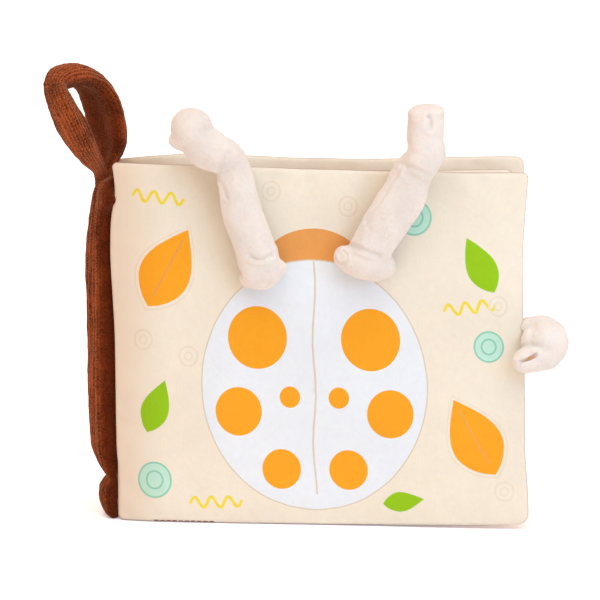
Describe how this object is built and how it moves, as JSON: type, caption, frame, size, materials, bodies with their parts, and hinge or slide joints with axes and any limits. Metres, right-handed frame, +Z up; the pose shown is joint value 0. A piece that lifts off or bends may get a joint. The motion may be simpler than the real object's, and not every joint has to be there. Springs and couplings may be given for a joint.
{
  "type": "crinkle cloth book",
  "caption": "Soft padded cloth book that stands fanned open, with a plush spine and hanging loop, knotted velour horns and a knotted tail tab.",
  "frame": {"origin": "middle of the spine's foot, on the surface that the book stands on", "axes": "+X from the spine towards the fore-edge, +Y towards the back cover, +Z up"},
  "size_m": [0.2063, 0.0605, 0.1783],
  "materials": {
    "brown_plush": "matte",
    "pale_velour": "matte",
    "cover_cloth": "matte",
    "leaf_cloth": "matte",
    "wadding": "matte",
    "crinkle_film": "satin"
  },
  "bodies": {
    "spine": {"spine_cover": "brown_plush", "spine_wadding": "wadding", "spine_lining": "leaf_cloth"},
    "loop": {"hanging_loop": "brown_plush"},
    "front_cover": {"front_cover_outer": "cover_cloth", "front_cover_inner": "leaf_cloth", "front_cover_wadding": "wadding", "front_cover_crinkle_film": "crinkle_film"},
    "leaf_2": {"leaf_2_front": "leaf_cloth", "leaf_2_back": "leaf_cloth", "leaf_2_crinkle_film": "crinkle_film"},
    "leaf_3": {"leaf_3_front": "leaf_cloth", "leaf_3_back": "leaf_cloth", "leaf_3_crinkle_film": "crinkle_film"},
    "back_cover": {"back_cover_inner": "leaf_cloth", "back_cover_outer": "cover_cloth", "back_cover_wadding": "wadding", "back_cover_crinkle_film": "crinkle_film"},
    "left_horn": {"left_horn": "pale_velour"},
    "right_horn": {"right_horn": "pale_velour"},
    "tail": {"tail_knot": "pale_velour"}
  },
  "joints": [
    {"name": "front_cover_open", "type": "hinge", "parent": "spine", "child": "front_cover", "pos_m": [0.00205, -0.01245, 0], "axis": [0, 0, -1], "range_deg": [-5, 140]},
    {"name": "leaf_2_turn", "type": "hinge", "parent": "spine", "child": "leaf_2", "pos_m": [0.00455, -0.0042, 0], "axis": [0, 0, -1], "range_deg": [-3, 64]},
    {"name": "leaf_3_turn", "type": "hinge", "parent": "spine", "child": "leaf_3", "pos_m": [0.00455, 0.0042, 0], "axis": [0, 0, 1], "range_deg": [-2, 64]},
    {"name": "back_cover_open", "type": "hinge", "parent": "spine", "child": "back_cover", "pos_m": [0.00205, 0.01245, 0], "axis": [0, 0, 1], "range_deg": [-3, 140]},
    {"name": "left_horn_flop", "type": "hinge", "parent": "front_cover", "child": "left_horn", "pos_m": [0.06005, -0.02884, 0.1015], "axis": [0.9954, -0.0958, 0], "range_deg": [0, 160]},
    {"name": "right_horn_flop", "type": "hinge", "parent": "front_cover", "child": "right_horn", "pos_m": [0.09568, -0.03227, 0.1015], "axis": [0.9954, -0.0958, 0], "range_deg": [0, 160]},
    {"name": "tail_flap", "type": "hinge", "parent": "front_cover", "child": "tail", "pos_m": [0.16082, -0.02774, 0.074], "axis": [0, 0, 1], "range_deg": [-15, 45]},
    {"name": "loop_flop", "type": "hinge", "parent": "spine", "child": "loop", "pos_m": [-0.00195, 0, 0.1369], "axis": [0, -1, 0], "range_deg": [-20, 60]}
  ],
  "couplings": [
    {"joint": "leaf_2_turn", "follows": "front_cover_open", "ratio": 0.45},
    {"joint": "leaf_3_turn", "follows": "back_cover_open", "ratio": 0.45}
  ]
}
